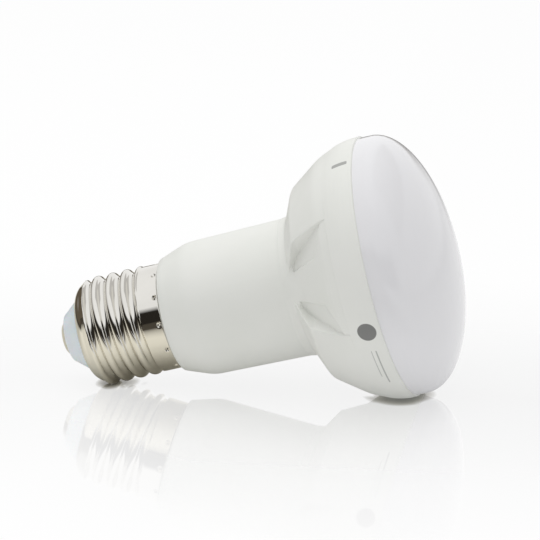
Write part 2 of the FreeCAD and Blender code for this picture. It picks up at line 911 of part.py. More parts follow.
def make_led_board():
    station = cell("plate_station") + cell("plate_thick")
    disc = rod("board_disc", cell("board_radius"), cell("board_thick"), 0.0, 0.0, station)
    holes = [rod("board_lead_hole", cell("lead_hole"), cell("board_thick") + 2 * PAST, 0.0, 0.0,
                 station - PAST)]
    holes += screw_holes("board", station, cell("board_thick"))
    return keep(less("led_board", disc, joined("board_holes", holes)), "led_board")


def board_face():
    return cell("plate_station") + cell("plate_thick") + cell("board_thick")


def make_leds():
    chips = []
    for place, (x, y, turn) in enumerate(around(int(number("led_count")), number("led_circle"))):
        chip = document.addObject("Part::Box", "led_%d" % place)
        bind(chip, Length=cell("led_length"), Width=cell("led_width"), Height=cell("led_height"))
        turn_round = Rotation(Vector(0, 0, 1), turn)
        corner = Vector(x, y, 0) + turn_round.multVec(
            Vector(-number("led_length") / 2, -number("led_width") / 2, 0))
        seat(chip, corner.x, corner.y, board_face(), turn_round)
        chips.append(chip)
    return keep(grouped("leds", chips), "leds")


def make_board_screws():
    screws = []
    for place, (x, y, _) in enumerate(screw_places()):
        head = rod("screw_head_%d" % place, cell("screw_head_radius"), cell("screw_head_height"), x, y,
                   board_face())
        shank = rod("screw_shank_%d" % place, cell("screw_radius"), cell("screw_length"), x, y,
                    board_face() - cell("screw_length"))
        screws.append(joined("screw_%d" % place, [head, shank]))
    return keep(grouped("board_screws", screws), "board_screws")


# Driver

def make_driver_board():
    body = new_body("driver_board")
    tail, half = cell("driver_tail_half"), cell("driver_half")
    start, step, end = cell("driver_tail_start"), cell("driver_step"), cell("driver_end")
    shoulder = cell("driver_shoulder")
    outline = draw(new_sketch(body, "driver_outline"), [
        (-tail, start), (tail, start), (tail, step - shoulder), (half, step),
        (half, end), (-half, end), (-half, step), (-tail, step - shoulder),
    ])
    pad = body.newObject("PartDesign::Pad", "laminate")
    pad.Profile = outline
    pad.Midplane = True
    bind(pad, Length=cell("driver_thick"))
    document.recompute()
    return keep(body, "driver_board")


def part_side():
    return cell("driver_thick") / 2


def make_capacitors():
    for label, name in (("input_capacitor", "electrolytic"), ("output_capacitor", "smoothing")):
        radius = cell(name + "_radius")
        body_rod(label, radius, cell(name + "_length"), cell(name + "_across"), part_side() + radius,
                 cell(name + "_start"))
    deep = cell("film_depth")
    body_block("film_capacitor", cell("film_width"), deep, cell("film_length"), cell("film_across"),
               part_side() + deep / 2, cell("film_start"))


def make_fuse_resistor():
    radius = cell("fuse_radius")
    body_rod("fuse_resistor", radius, cell("fuse_length"), cell("fuse_across"), part_side() + radius,
             cell("fuse_start"))


def make_filter_inductor():
    radius, long, flange = cell("choke_radius"), cell("choke_length"), cell("choke_flange")
    x, y, z = cell("choke_across"), part_side() + radius, cell("choke_start")
    near = rod("choke_near_flange", radius, flange, x, y, z)
    coil = rod("choke_coil", cell("choke_coil_radius"), long - 2 * flange, x, y, z + flange)
    far = rod("choke_far_flange", radius, flange, x, y, z + long - flange)
    keep(joined("filter_inductor", [near, coil, far]), "filter_inductor")


def make_transformer():
    wide, deep, leg = cell("core_width"), cell("core_depth"), cell("core_leg")
    x, y, z = cell("core_across"), part_side() + cell("winding_build") + deep / 2, cell("core_start")
    window = (wide - 2 * leg) / 2 - cell("core_slack")
    window_tall = wide - leg
    outside = block("core_block", wide, deep, wide, x, y, z)
    openings = []
    for side in (-1, 1):
        middle = x + side * (leg + window) / 2
        openings.append(block("core_window_%d" % (side + 1), window, deep + 2 * PAST, window_tall, middle, y,
                              z + leg / 2))
    keep(less("transformer_core", outside, joined("core_windows", openings)), "transformer_core")
    gap = cell("fit_gap")
    build = cell("winding_build")
    ring = block("winding_block", leg + 2 * build, deep + 2 * build - 2 * gap, window_tall - 2 * gap, x, y,
                 z + leg / 2 + gap)
    hole = block("winding_hole", leg + 2 * gap, deep + 2 * gap, window_tall + 2 * PAST, x, y,
                 z + leg / 2 - PAST)
    keep(less("transformer_winding", ring, hole), "transformer_winding")


def make_surface_parts():
    for label, name in (("rectifier", "bridge"), ("driver_chip", "chip"), ("output_diode", "diode")):
        deep = cell(name + "_depth")
        body_block(label, cell(name + "_width"), deep, cell(name + "_length"), cell(name + "_across"),
                   -part_side() - deep / 2, cell(name + "_start"))


def make_leads():
    radius, bend = cell("lead_radius"), cell("lead_bend")
    on_board = part_side() + radius
    bore = cell("crest_radius") - thread_depth() - cell("sheet")
    tail = cell("driver_tail_start")
    over = (cell("lip_station") + cell("insulator_plug") + cell("spigot_start")) / 2
    live_x, neutral_x = cell("live_across"), cell("neutral_across")
    step = tail - cell("lead_step")
    live = [
        (0.0, 0.0, cell("rivet_end")),
        (0.0, 0.0, tail - cell("lead_fall")),
        (live_x, on_board, step),
        (live_x, on_board, tail + cell("lead_landing")),
    ]
    neutral = [
        (bore - cell("fit_gap"), 0.0, over),
        (neutral_x, 0.0, over),
        (neutral_x, -on_board, step),
        (neutral_x, -on_board, tail + cell("neutral_landing")),
    ]
    keep(routed("live_lead", live, radius, bend), "live_lead")
    keep(routed("neutral_lead", neutral, radius, bend), "neutral_lead")
    top = board_face() + radius
    run = cell("led_lead_run")
    for label, side in (("led_lead_plus", 1), ("led_lead_minus", -1)):
        apart, close = cell("led_lead_across") * side, cell("led_lead_close") * side
        route = [
            (apart, on_board, cell("driver_end") - run),
            (apart, on_board, cell("driver_end") + cell("led_lead_rise")),
            (close, 0.0, cell("plate_station") - run),
            (close, 0.0, top),
            (cell("led_lead_far") * side, 0.0, top),
        ]
        keep(routed(label, route, radius, bend), label)


make_centre_contact()
make_cap_insulator()
make_screw_shell()
make_housing()
make_diffuser()
make_heat_plate()
make_led_board()
make_leds()
make_board_screws()
make_driver_board()
make_capacitors()
make_fuse_resistor()
make_filter_inductor()
make_transformer()
make_surface_parts()
make_leads()
document.recompute()

# Laying the lamp down

def resting_line():
    """Tilt and height of the axis when the lamp rests on a thread crest and on the band's round."""
    crest_round, band_round = number("thread_round"), number("band_round")
    floor_turn = (180.0 - VALLEY_TURN) % 360.0
    crest_station = number("thread_first_crest") + number("thread_pitch") * (1.0 + floor_turn / 360.0)
    crest_middle = Vector(crest_station, number("crest_radius") - crest_round, 0)
    corner = Vector(number("band_station"), number("band_radius"), 0)
    back = (Vector(number("fold_station"), number("fold_radius"), 0) - corner).normalize()
    onward = (Vector(number("rim_station"), number("rim_radius"), 0) - corner).normalize()
    half = back.getAngle(onward) / 2.0
    band_middle = corner + (back + onward).normalize() * (band_round / math.sin(half))
    line = band_middle - crest_middle
    tilt = math.atan2(line.y, line.x) + math.asin((band_round - crest_round) / line.Length)
    height = crest_middle.y * math.cos(tilt) - crest_middle.x * math.sin(tilt) + crest_round
    return math.degrees(tilt), height


def lay_down():
    """Lays every sub-part down, with the origin under the middle of the lamp."""
    tilt, height = resting_line()
    lying = Rotation(Vector(0, 1, 0), 90.0 - tilt).multiply(Rotation(Vector(0, 0, 1), VALLEY_TURN + 180.0))
    ends = []
    for thing in subparts:
        shape = thing.Shape.copy()
        shape.Placement = Placement(Vector(), lying)
        box = shape.optimalBoundingBox(False)
        ends += [box.XMin, box.XMax]
    middle = (min(ends) + max(ends)) / 2.0
    for thing in subparts:
        thing.Placement = Placement(Vector(-middle, 0, height), lying)
    document.recompute()
    print("tilt %.3f degrees, axis height at the insulator's end %.3f, middle %.3f" % (tilt, height, middle))


def export():
    for thing in document.Objects:
        if "Invalid" in thing.State or "Error" in thing.State:
            raise ValueError("%s did not build" % thing.Label)
    for thing in subparts:
        if thing.Shape.isNull() or not thing.Shape.isValid():
            raise ValueError("%s has no valid shape" % thing.Label)
    os.makedirs("parts", exist_ok=True)
    for thing in subparts:
        thing.Shape.exportStep("parts/%s.step" % thing.Label)
        print("%-20s %9.1f mm3, %d solids" % (thing.Label, thing.Shape.Volume, len(thing.Shape.Solids)))


lay_down()
export()
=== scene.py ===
import math

import bpy
import numpy as np
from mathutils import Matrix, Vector
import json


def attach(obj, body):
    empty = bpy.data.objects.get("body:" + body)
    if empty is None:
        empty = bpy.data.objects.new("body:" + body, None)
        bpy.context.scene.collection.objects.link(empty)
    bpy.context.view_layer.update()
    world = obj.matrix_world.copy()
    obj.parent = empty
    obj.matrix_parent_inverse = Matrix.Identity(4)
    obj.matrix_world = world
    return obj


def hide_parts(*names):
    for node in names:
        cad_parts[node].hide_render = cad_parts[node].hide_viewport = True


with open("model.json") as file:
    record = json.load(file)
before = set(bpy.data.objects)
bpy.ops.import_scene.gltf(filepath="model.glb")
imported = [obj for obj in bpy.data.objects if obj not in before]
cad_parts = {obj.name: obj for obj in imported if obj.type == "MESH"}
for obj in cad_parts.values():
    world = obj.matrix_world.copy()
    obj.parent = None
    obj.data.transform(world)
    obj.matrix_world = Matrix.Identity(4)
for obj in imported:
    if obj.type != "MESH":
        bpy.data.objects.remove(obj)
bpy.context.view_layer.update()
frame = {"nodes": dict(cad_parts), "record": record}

MM = 0.001
TURN = 2.0 * math.pi
QUARTER = TURN / 4.0
SECTOR = TURN / 3.0

# The lamp's own frame: stations in mm along its axis from the flat end of the cap's insulator,
# angles from the middle of the valley that faces the camera.
THREAD_MOUNT_STATION = 14.0
VALLEY_TURN = math.radians(79.6 + 180.0)
mounts = {mount["name"]: mount for mount in frame["record"]["mounts"]}
lamp_axis = -Vector(mounts["screw_thread"]["axis"])
lamp_start = Vector(mounts["screw_thread"]["pos_m"]) - lamp_axis * THREAD_MOUNT_STATION * MM
across = Vector((lamp_axis.z, 0.0, -lamp_axis.x))


def ring_point(radius, station, angle):
    """World place of a point on the lamp given in its own frame, in mm and radians."""
    turned = angle + VALLEY_TURN
    return (lamp_start + lamp_axis * (station * MM) + across * (radius * MM * math.cos(turned))
            + Vector((0.0, radius * MM * math.sin(turned), 0.0)))


# Outlines: lists of (radius, station) points

BEND_STEP = 4.0  # degrees
LEAST_BEND_STEPS = 3
SAME_STATION = 0.02


def rounded(corners):
    """A line through corners, of which those with a third value get a bend of that radius."""
    points = []
    for i, corner in enumerate(corners):
        here = np.array(corner[:2], float)
        if len(corner) == 2 or i in (0, len(corners) - 1):
            points.append(tuple(here))
            continue
        back = np.array(corners[i - 1][:2], float) - here
        onward = np.array(corners[i + 1][:2], float) - here
        back /= np.linalg.norm(back)
        onward /= np.linalg.norm(onward)
        half = math.acos(max(-1.0, min(1.0, float(back @ onward)))) / 2.0
        reach = corner[2] / math.tan(half)
        bisector = (back + onward) / np.linalg.norm(back + onward)
        centre = here + bisector * (corner[2] / math.sin(half))
        first, last = here + back * reach - centre, here + onward * reach - centre
        sweep = math.pi - 2.0 * half
        steps = max(LEAST_BEND_STEPS, int(math.degrees(sweep) / BEND_STEP) + 1)
        for k in range(steps + 1):
            t = k / steps
            arm = first * math.sin((1.0 - t) * sweep) + last * math.sin(t * sweep)
            points.append(tuple(centre + arm / math.sin(sweep)))
    return points


def radius_at(outline, stations):
    """Radius of an outline that runs along the lamp, at each station."""
    radii, places = zip(*outline)
    return np.interp(stations, places, radii)


def spaced(outline, step):
    """Stations of an outline's points, with more added so that none are further apart than step."""
    places = sorted({round(place, 5) for _, place in outline})
    stations = [places[0]]
    for place in places[1:]:
        gap = place - stations[-1]
        if gap < SAME_STATION:
            continue
        parts = max(1, math.ceil(gap / step))
        stations += [stations[-1] + gap * (k + 1) / parts for k in range(parts)]
    return np.array(stations)


# Meshes

SHARP_FOLD = math.radians(30.0)


def ring(radius, station, count):
    return np.full(count, float(radius)), np.full(count, float(station))


def even_angles(count):
    return np.arange(count) * (TURN / count)


def ring_places(rings, angles):
    """World places of rings' points, each ring given as its radii and stations by angle."""
    start, axis, side = (np.array(v) for v in (lamp_start, lamp_axis, across))
    rows = []
    for (radii, stations), ring_angles in zip(rings, angles):
        turned = ring_angles + VALLEY_TURN
        row = start + np.outer(stations * MM, axis) + np.outer(radii * MM * np.cos(turned), side)
        row[:, 1] += radii * MM * np.sin(turned)
        rows.append(row)
    return np.concatenate(rows)


def ring_faces(count, total, closed):
    """Faces between rings of count points. A closed form's last ring joins its first."""
    faces = []
    for row in range(total if closed else total - 1):
        low, high = row * count, ((row + 1) % total) * count
        for k in range(count):
            n = (k + 1) % count
            faces.append((low + k, low + n, high + n, high + k))
    return faces


def mesh_piece(name, verts, faces):
    """An object with a smooth mesh that keeps its sharp folds."""
    mesh = bpy.data.meshes.new(name)
    mesh.from_pydata([tuple(v) for v in verts], [], faces)
    mesh.update()
    piece = bpy.data.objects.new(name, mesh)
    bpy.context.scene.collection.objects.link(piece)
    mesh.shade_smooth()
    mesh.set_sharp_from_angle(angle=SHARP_FOLD)
    return piece


def lofted(name, rings, angles=None):
    """A hollow form from rings, joined one to the next and the last to the first."""
    count = len(rings[0][0])
    if angles is None:
        angles = [even_angles(count)] * len(rings)
    return mesh_piece(name, ring_places(rings, angles), ring_faces(count, len(rings), True))


def capped(name, rings):
    """A form from rings, of which the first and the last close on the axis."""
    count = len(rings[0][0])
    verts = list(ring_places(rings, [even_angles(count)] * len(rings)))
    faces = ring_faces(count, len(rings), False)
    for row, flip in ((0, True), (len(rings) - 1, False)):
        tip = len(verts)
        verts.append(sum(verts[row * count:(row + 1) * count]) / count)
        for k in range(count):
            a, b = row * count + k, row * count + (k + 1) % count
            faces.append((tip, b, a) if flip else (tip, a, b))
    return mesh_piece(name, verts, faces)


def eased(values):
    """Values held between 0 and 1, with a soft start and end."""
    step = np.clip(values, 0.0, 1.0)
    return step * step * (3.0 - 2.0 * step)


def smooth_max(a, b, reach):
    """The larger of two values, with the corner between them rounded over reach."""
    mix = np.clip(0.5 + 0.5 * (a - b) / reach, 0.0, 1.0)
    return b * (1.0 - mix) + a * mix + reach * mix * (1.0 - mix)


def smooth_min(a, b, reach):
    return -smooth_max(-a, -b, reach)


def round_edge(radius, station, bend, steps=5):
    """Points of a quarter round from an outer side to an end face that lies further on."""
    for k in range(steps + 1):
        t = k / steps * QUARTER
        yield radius - bend * (1.0 - math.cos(t)), station - bend * (1.0 - math.sin(t))


# Sizes of the outer pieces in mm, as the solids have them

CREST, PITCH, THREAD_ROUND, FIRST_CREST = 13.1, 3.629, 1.025, 3.56
DEPTH = 2.0 * THREAD_ROUND - math.sqrt(4.0 * THREAD_ROUND ** 2 - (PITCH / 2.0) ** 2)
VALLEY_RADIUS = CREST - DEPTH
LIP = (9.07, 4.18)
SHELL_END = 26.2
SHELL_EDGE = 0.35
SHELL_COLUMNS, SHELL_ROWS = 384, 0.125
SKIRT = (12.79, 21.2)
THREAD_END = 20.3
THREAD_CLEAR, THREAD_CLEAR_START = 0.3, 8.0
NOSE_BLEND, SKIRT_BLEND, SKIRT_BLEND_LEAD, SKIRT_BLEND_LENGTH = 0.12, 0.25, 0.1, 0.4
SHEET = 0.45
NOSE_CENTRE, NOSE_ROUND = (8.51, 8.12), 3.98
NOSE_START, NOSE_STEP, NOSE_STEPS = 8.1, 4.6, 12  # the angles in degrees
INSULATOR_COLUMNS, CONTACT_COLUMNS = 160, 96
PUNCH_COUNT, PUNCH_STATION, PUNCH_TURN = 12, 25.3, math.radians(7.7)
PUNCH_RING, PUNCH_RING_WIDTH, PUNCH_RING_DEPTH = 0.36, 0.17, 0.36
PUNCH_MIDDLE_WIDTH, PUNCH_MIDDLE_DEPTH = 0.22, 0.10

NECK_GAP, NECK_EDGE = 0.2, 0.2
NECK_START = SHELL_END + NECK_GAP
NECK_TOP = 16.7
HEAD_START = 57.5
LOBE_SINK = 0.3
FOLD = (29.95, 72.6)
FOLD_DEPTH, FOLD_RISE, FOLD_DROP, FOLD_LEAD = 0.16, 70.5, 0.12, 0.05
RIM = (31.5, 80.2)
LENS_GAP = 0.02
LENS_RADIUS = RIM[0] - 0.35
LENS_BASE, LENS_HEIGHT, LENS_WALL = 2.5, 16.1, 1.5
LENS_COLUMNS, LENS_ROWS = 256, 56
TONGUE = ((29.8, 28.5), 76.8)
WALL_FLARE = 0.72
APEX, APEX_STATION, APEX_SLOPE = 7.3, 64.0, 0.04
CLOSING_STATION, CLOSING_SHARE, CLOSING_POWER = 63.6, 0.62, 1.5
WALL_ROUND, LOBE_ROUND = 0.45, 1.6
WINDOW_DEPTH = 0.55
WINDOW_START = 60.9
PAD_SIDE, WINDOW_FAR_SIDE, WINDOW_NEAR_SIDE = 0.42, 0.40, 0.5  # how wide the windows' sloped sides are

body_line = rounded([
    (13.65, SHELL_END),
    (16.18, 33.3, 10.0),
    (NECK_TOP, 60.4, 8.0),
    (28.8, 70.4, 9.0),
    FOLD,
    (31.66, 76.22, 15.0),
    RIM,
])
lobe_line = rounded([
    (NECK_TOP - LOBE_SINK, SHELL_END),
    (NECK_TOP - LOBE_SINK, 50.0),
    (NECK_TOP, 59.2, 0.8),
    (23.6, 62.45, 2.0),
    (28.75, 69.75, 12.0),
    FOLD,
])
spigot_line = [(11.45, SHELL_END), (12.3, SHELL_END), (12.3, NECK_START)]
neck_edge = [(13.5, NECK_START), (13.62, NECK_START + 0.04), (13.7, NECK_START + 0.12)]
housing_inside = [(29.9, RIM[1]), (29.9, 76.5), (27.7, 76.5), (27.7, 73.0), (27.0, 72.8),
                  (NECK_TOP - 1.8, 61.1), (14.38, 31.5), (9.65, 25.3), (9.65, 8.5), (11.45, 8.5)]
shell_inside = [(VALLEY_RADIUS - SHEET, SHELL_END), (VALLEY_RADIUS - SHEET, 7.0), (10.4, 5.6),
                (LIP[0] - SHEET, LIP[1] + 0.5), (LIP[0] - SHEET, LIP[1])]
insulator_line = [(1.3, 0.0), (5.3, 0.0), (5.55, 0.04), (5.75, 0.14), (5.95, 0.32), (6.13, 0.6),
                  (LIP[0] - 0.02, LIP[1]), (8.5, LIP[1]), (8.5, 6.3), (1.3, 6.3)]
contact_line = [(2.6, -1.3), (3.0, -1.27), (3.35, -1.17), (3.6, -1.03), (4.55, -0.25),
                (4.72, -0.1), (4.75, 0.0), (1.2, 0.0), (1.2, 5.2)]
nose_line = [LIP]
for turns in range(1, NOSE_STEPS + 1):
    swing = math.radians(NOSE_START + turns * NOSE_STEP)
    nose_line.append((NOSE_CENTRE[0] + NOSE_ROUND * math.sin(swing),
                      NOSE_CENTRE[1] - NOSE_ROUND * math.cos(swing)))

# lines over a valley's floor: (station, half width) of the pad, (half width, station) of the windows' end
pad_edge = [(60.0, 3.4), (61.9, 3.9), (68.0, 5.6), (74.0, 7.0)]
window_end = [(0.0, 66.6), (5.6, 68.0), (11.6, 70.4), (30.0, 77.7)]


# Housing

def along_line(points, values):
    """A line given as pairs, read at each value."""
    return np.interp(values, *zip(*points))


def wall_apex(stations):
    """Distance from the axis of the line in which a valley's two walls would meet."""
    settled = APEX + APEX_SLOPE * (stations - APEX_STATION)
    closing = np.maximum(CLOSING_STATION - stations, 0.0)
    return settled + CLOSING_SHARE * closing ** CLOSING_POWER


def within_valley(angles):
    """Angle from the middle of the nearest valley."""
    return (angles + SECTOR / 2.0) % SECTOR - SECTOR / 2.0


def wall_angle(stations, radii):
    """Angle from the middle of a valley at which its wall stands at a radius."""
    lean = wall_apex(stations) * WALL_FLARE / (radii * math.hypot(1.0, WALL_FLARE))
    return np.arccos(np.clip(lean, -1.0, 1.0)) - math.atan(1.0 / WALL_FLARE)


def valley_wall(stations, angles):
    """Radius at which a valley's flat walls stand, or a large one where no wall is met."""
    least, nowhere = 0.01, 99.0
    near = np.abs(within_valley(angles))
    slope = WALL_FLARE * np.cos(near) - np.sin(near)
    return np.where(slope > least, wall_apex(stations) * WALL_FLARE / np.maximum(slope, least), nowhere)


def window_sink(stations, angles, radii):
    """How deep the two windows of each valley lie under its floor."""
    half = np.abs(radii * np.sin(within_valley(angles)))
    beside_pad = (half - along_line(pad_edge, stations)) / PAD_SIDE
    before_end = (along_line(window_end, half) - stations) / WINDOW_FAR_SIDE
    after_start = (stations - WINDOW_START) / WINDOW_NEAR_SIDE
    return WINDOW_DEPTH * eased(np.minimum(np.minimum(beside_pad, before_end), after_start) + 0.5)


def fold_line(stations):
    """The fine step where a valley's floor meets the band."""
    rise = np.clip(stations - FOLD_RISE, 0.0, 1.0)
    return FOLD_DEPTH * rise * np.clip((FOLD[1] + FOLD_LEAD - stations) / FOLD_DROP, 0.0, 1.0)


def housing_radius(stations, angles):
    body = radius_at(body_line, stations)
    head = (stations > HEAD_START) & (stations < FOLD[1])
    floor = body - np.where(head, window_sink(stations, angles, body) + fold_line(stations), 0.0)
    lobe = radius_at(lobe_line, np.minimum(stations, FOLD[1]))
    raised = smooth_min(lobe, valley_wall(stations, angles), LOBE_ROUND)
    return np.where(head, smooth_max(floor, np.where(head, raised, 0.0), WALL_ROUND), body)


# columns of points close to each side of a valley's edges
EDGE_COLUMNS = np.radians([-1.1, -0.75, -0.5, -0.3, -0.15, 0.0, 0.15, 0.3, 0.5, 0.75, 1.1])
LEAST_WALL, LEAST_FLOOR = math.radians(2.2), math.radians(2.6)
EDGES_RUN = (59.6, 72.2)
FOOT_SINK = 0.4
PAD_COLUMNS, FLOOR_COLUMNS, WALL_COLUMNS, LOBE_COLUMNS = 6, 22, 5, 12
# rows of the housing: step along neck and band, head, fold and rim band
ROW_STEP, HEAD_ROWS, FOLD_ROWS, BAND_ROWS = 2.0, 0.16, 0.06, 0.6
FOLD_END, BAND_END = 72.8, 80.0


def head_angles(station):
    """Angles of one ring of the housing, closer together where the valleys' edges pass."""
    place = np.clip(station, *EDGES_RUN)
    floor = radius_at(body_line, place)
    foot = float(wall_angle(place, floor - FOOT_SINK))
    top = float(wall_angle(place, max(radius_at(lobe_line, place), floor)))
    top = max(top, foot + LEAST_WALL)
    pad = min(math.asin(along_line(pad_edge, place) / floor), foot - LEAST_FLOOR)
    before, after = EDGE_COLUMNS[0], EDGE_COLUMNS[-1]
    half = np.concatenate([
        np.linspace(0.0, pad + before, PAD_COLUMNS, endpoint=False),
        pad + EDGE_COLUMNS,
        np.linspace(pad + after, foot + before, FLOOR_COLUMNS)[1:-1],
        foot + EDGE_COLUMNS,
        np.linspace(foot + after, top + before, WALL_COLUMNS)[1:-1],
        top + EDGE_COLUMNS,
        np.linspace(top + after, SECTOR / 2.0, LOBE_COLUMNS)[1:],
    ])
    sector = np.concatenate([-half[-2:0:-1], half])
    return np.concatenate([sector + SECTOR * k for k in range(3)])


def make_housing():
    stations = np.unique(np.concatenate([
        spaced(body_line, ROW_STEP),
        [NECK_START + NECK_EDGE + 0.05],
        np.arange(HEAD_START, EDGES_RUN[1], HEAD_ROWS),
        np.arange(EDGES_RUN[1], FOLD_END, FOLD_ROWS),
        np.arange(FOLD_END, BAND_END, BAND_ROWS),
    ]))
    stations = stations[(stations > NECK_START + NECK_EDGE) & (stations < RIM[1])]
    count = len(head_angles(FOLD[1]))
    rings = [ring(*point, count) for point in spigot_line + neck_edge]
    rings += [(housing_radius(np.full(count, s), head_angles(s)), np.full(count, s)) for s in stations]
    rings += [ring(*point, count) for point in round_edge(*RIM, RIM[0] - LENS_RADIUS - LENS_GAP)]
    rings += [ring(*point, count) for point in housing_inside]
    return lofted("lamp_housing", rings, [head_angles(heights[0]) for _, heights in rings])


def make_lens():
    count, steps = LENS_COLUMNS, LENS_ROWS
    crown = LENS_HEIGHT - LENS_BASE
    tongue, tongue_end = TONGUE

    def dome(parts, inset):
        for k in range(parts):
            t = k / parts * QUARTER
            yield ring((LENS_RADIUS - inset) * math.cos(t),
                       RIM[1] + LENS_BASE + (crown - inset) * math.sin(t), count)

    outer = [ring(tongue[0], tongue_end, count), ring(tongue[0], RIM[1], count),
             ring(LENS_RADIUS, RIM[1], count), *dome(steps, 0.0)]
    inner = [ring(tongue[1], tongue_end, count), ring(tongue[1], RIM[1] + 1.0, count),
             *dome(steps // 2, LENS_WALL)]
    return capped("lens", outer[::-1] + inner)


# Cap

def thread_radius(stations, angles):
    """The rolled thread: equal round crests and roots that wind right-hand."""
    phase = (stations - FIRST_CREST - PITCH * angles / TURN) / PITCH
    off = np.abs(phase - np.round(phase)) * PITCH
    crest = CREST - THREAD_ROUND + np.sqrt(np.maximum(THREAD_ROUND ** 2 - off ** 2, 0.0))
    back = PITCH / 2.0 - off
    valley = VALLEY_RADIUS + THREAD_ROUND - np.sqrt(np.maximum(THREAD_ROUND ** 2 - back ** 2, 0.0))
    return np.where(off < PITCH / 4.0, crest, valley)


def shell_radius(stations, angles):
    """The thread, held within the nose at one end and blended into the plain skirt at the other."""
    clear = CREST + THREAD_CLEAR
    limit = radius_at(nose_line + [(clear, THREAD_CLEAR_START), (clear, THREAD_END), SKIRT], stations)
    floor = radius_at([(0.0, THREAD_END), SKIRT], stations)
    wound = smooth_max(thread_radius(stations, angles), floor, SKIRT_BLEND)
    wound = smooth_min(wound, limit, NOSE_BLEND)
    plain = eased((stations - SKIRT[1] + SKIRT_BLEND_LEAD) / SKIRT_BLEND_LENGTH)
    return wound * (1.0 - plain) + SKIRT[0] * plain


def punch_depth(stations, angles):
    """Ring-shaped punch marks round the skirt."""
    step = TURN / PUNCH_COUNT
    near = (angles - PUNCH_TURN + step / 2.0) % step - step / 2.0
    away = np.hypot(near * SKIRT[0], stations - PUNCH_STATION)
    return (PUNCH_RING_DEPTH * np.exp(-((away - PUNCH_RING) / PUNCH_RING_WIDTH) ** 2)
            + PUNCH_MIDDLE_DEPTH * np.exp(-(away / PUNCH_MIDDLE_WIDTH) ** 2))


def make_shell():
    count = SHELL_COLUMNS
    angles = even_angles(count)
    stations = np.concatenate([
        [station for _, station in nose_line[:-1]],
        np.arange(nose_line[-1][1], SHELL_END - SHELL_EDGE, SHELL_ROWS),
    ])
    rings = []
    for station in stations:
        heights = np.full(count, station)
        rings.append((shell_radius(heights, angles) - punch_depth(heights, angles), heights))
    rings += [ring(*point, count) for point in round_edge(SKIRT[0], SHELL_END, SHELL_EDGE)]
    rings += [ring(*point, count) for point in shell_inside]
    return lofted("cap_shell", rings)


def make_insulator():
    return lofted("cap_insulation", [ring(*point, INSULATOR_COLUMNS) for point in insulator_line])


def make_contact():
    return capped("contact_button", [ring(*point, CONTACT_COLUMNS) for point in contact_line])


# Nodes. The owner is a material or the world, and a value is a number, a colour or a socket.

WHITE = (1.0, 1.0, 1.0)


def add(owner, kind, **values):
    node = owner.node_tree.nodes.new(kind)
    for name, value in values.items():
        if name in node.inputs:
            give(owner, value, node.inputs[name])
        else:
            setattr(node, name, value)
    return node


def give(owner, value, target):
    """Links a socket to a value, or sets it where the value is plain."""
    if isinstance(value, bpy.types.NodeSocket):
        owner.node_tree.links.new(value, target)
    elif isinstance(value, tuple) and len(value) == 3 and target.type == "RGBA":
        target.default_value = (*value, 1.0)
    else:
        target.default_value = value


def calc(owner, operation, *values):
    node = add(owner, "ShaderNodeMath", operation=operation)
    for target, value in zip(node.inputs, values):
        give(owner, value, target)
    return node.outputs["Value"]


def chain(owner, operation, *values):
    """A math operation run over several values, one after another."""
    total = values[0]
    for value in values[1:]:
        total = calc(owner, operation, total, value)
    return total


def ramped(owner, value, low, high, to_low=0.0, to_high=1.0):
    """A value mapped from one span to another, held at its ends."""
    span = add(owner, "ShaderNodeMapRange")
    for name, number in (("Value", value), ("From Min", low), ("From Max", high),
                         ("To Min", to_low), ("To Max", to_high)):
        give(owner, number, span.inputs[name])
    return span.outputs["Result"]


def colour_ramp(owner, value, steps):
    """A colour that follows a value through (position, colour) steps."""
    ramp = add(owner, "ShaderNodeValToRGB", Fac=value)
    elements = ramp.color_ramp.elements
    while len(elements) < len(steps):
        elements.new(0.5)
    for element, (position, colour) in zip(elements, steps):
        element.position = position
        element.color = (*colour, 1.0)
    return ramp.outputs["Color"]


def blend(owner, share, first, second):
    """A colour between two, by share."""
    mix = add(owner, "ShaderNodeMix", data_type="RGBA")
    for name, value in (("Factor", share), ("A", first), ("B", second)):
        give(owner, value, mix.inputs[name])
    return mix.outputs["Result"]


def mixed(owner, share, first, second):
    """A shader between two, by share."""
    mix = add(owner, "ShaderNodeMixShader", Fac=share)
    give(owner, first, mix.inputs[1])
    give(owner, second, mix.inputs[2])
    return mix.outputs["Shader"]


def object_place(material):
    return add(material, "ShaderNodeTexCoord").outputs["Object"]


def noise(material, scale, detail=3.0):
    texture = add(material, "ShaderNodeTexNoise", Scale=scale, Detail=detail,
                  Vector=object_place(material))
    return texture.outputs["Fac"]


# Materials

def bare_material(name):
    """A material with nothing but its output."""
    material = bpy.data.materials.new(name)
    material.use_nodes = True
    material.node_tree.nodes.clear()
    return material, add(material, "ShaderNodeOutputMaterial").inputs["Surface"]


def finish(name, first, second, scale, rough, rough_scale, metallic=0.0):
    """A material whose colour and roughness drift slightly between two values each."""
    material, surface = bare_material(name)
    colour = colour_ramp(material, noise(material, scale), ((0.35, first), (0.65, second)))
    shader = add(material, "ShaderNodeBsdfPrincipled", Metallic=metallic)
    give(material, colour, shader.inputs["Base Color"])
    roughness = ramped(material, noise(material, rough_scale), 0.0, 1.0, *rough)
    give(material, roughness, shader.inputs["Roughness"])
    give(material, shader.outputs["BSDF"], surface)
    return material, shader


BAND_RADIUS = 31.6
PRINT_REACH = 8.0
PRINT_SQUARE = 8.0
INK = (0.11, 0.11, 0.11)
# plain marks on the band: station, degrees, half size round the lamp and along it, squareness, strength
PRINT = (
    (76.8, 26.1, 2.25, 2.25, 2.0, 0.85),
    (77.4, 46.5, 5.8, 0.17, PRINT_SQUARE, 0.5),
    (76.3, 44.0, 4.5, 0.11, PRINT_SQUARE, 0.4),
    (77.1, -54.5, 0.62, 1.9, PRINT_SQUARE, 0.6),
)


